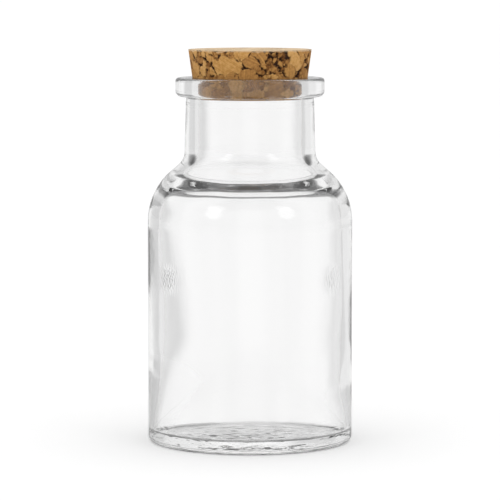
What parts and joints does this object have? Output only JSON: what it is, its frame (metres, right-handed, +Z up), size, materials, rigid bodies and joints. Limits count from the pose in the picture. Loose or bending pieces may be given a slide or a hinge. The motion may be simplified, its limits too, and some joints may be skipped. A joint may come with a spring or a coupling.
{
  "type": "glass bottle with cork stopper",
  "caption": "Round clear glass bottle with a rounded shoulder, short wide neck and beaded lip, closed by a tapered cork stopper that pulls straight out.",
  "frame": {"origin": "middle of the standing ring under the base, on the surface that the bottle stands on", "axes": "+Z up the bottle's axis, from the base to the mouth; the bottle and its stopper are round about Z, so +X and +Y are any two square directions"},
  "size_m": [0.06, 0.06, 0.1151],
  "materials": {
    "clear_glass": "clear, smooth, fire-finished",
    "agglomerated_cork": "sanded cork granules, matt"
  },
  "bodies": {
    "bottle": {"bottle": "clear_glass"},
    "stopper": {"cork_stopper": "agglomerated_cork"}
  },
  "joints": [
    {"name": "stopper_pull", "type": "slide", "parent": "bottle", "child": "stopper", "axis": [0, 0, 1], "range_m": [0, 0.03]}
  ]
}
